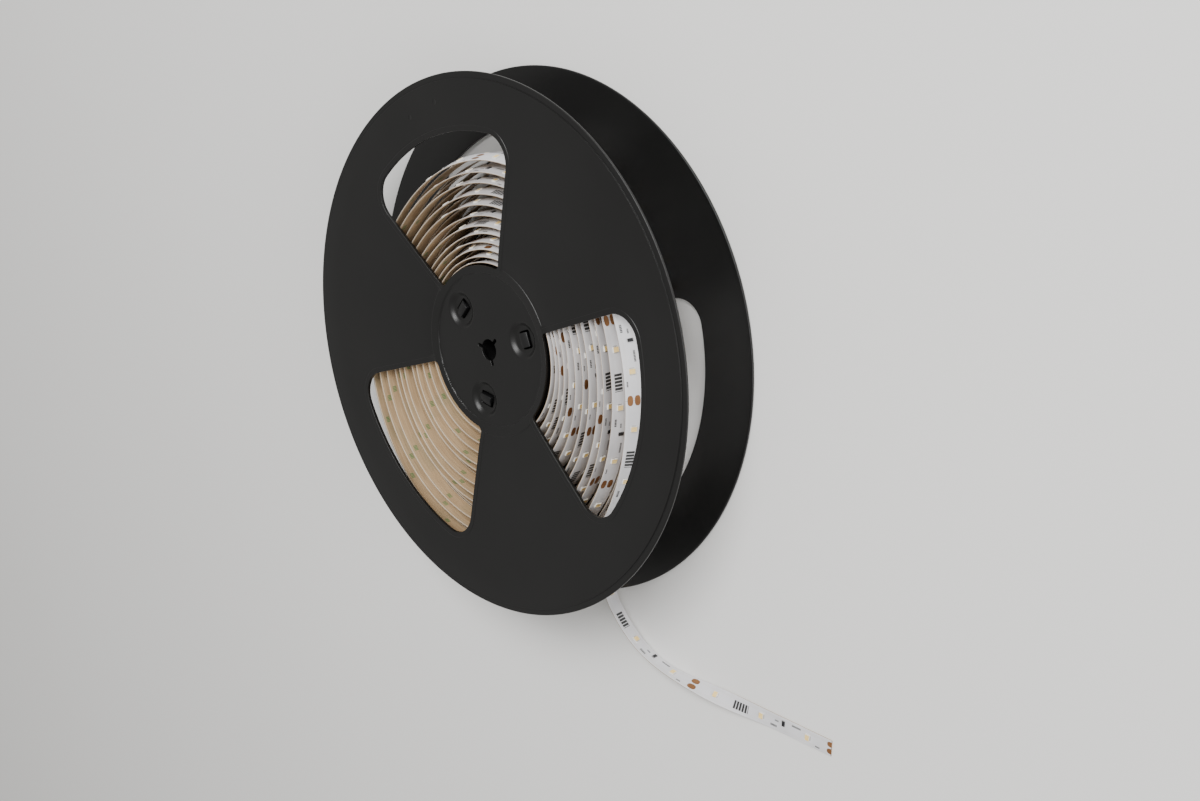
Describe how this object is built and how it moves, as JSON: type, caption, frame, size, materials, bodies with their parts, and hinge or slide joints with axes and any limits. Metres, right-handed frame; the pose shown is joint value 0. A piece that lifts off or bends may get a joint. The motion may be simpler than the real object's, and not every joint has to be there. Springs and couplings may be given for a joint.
{
  "type": "led strip light reel",
  "caption": "Open-spoked plastic reel wound with flexible LED lighting tape, its free end lying beside it.",
  "frame": {"origin": "centre of the rear flange's outer face, which lies on the ground", "axes": "+Z along the reel's axis, out of the front flange; +X is right and +Y is up in the picture's view of the front flange"},
  "size_m": [0.3941, 0.3668, 0.056],
  "materials": {
    "reel_plastic": "fine satin moulded polystyrene, near black",
    "hub_plastic": "satin moulded polystyrene, black",
    "strip_white": "white solder mask, with copper pads and a tan release liner behind",
    "led_phosphor": "warm yellow phosphor in a white surround",
    "resistor_black": "black top with tinned ends"
  },
  "bodies": {
    "root": {"front_flange": "reel_plastic", "rear_flange": "reel_plastic", "hub_core": "hub_plastic", "wound_strip": "strip_white", "loose_strip": "strip_white", "tail_led_1": "led_phosphor", "tail_led_2": "led_phosphor", "tail_led_3": "led_phosphor", "tail_led_4": "led_phosphor", "tail_led_5": "led_phosphor", "tail_led_6": "led_phosphor", "tail_led_7": "led_phosphor", "tail_led_8": "led_phosphor", "tail_resistor_1": "resistor_black", "tail_resistor_2": "resistor_black", "tail_resistor_3": "resistor_black"}
  },
  "joints": []
}
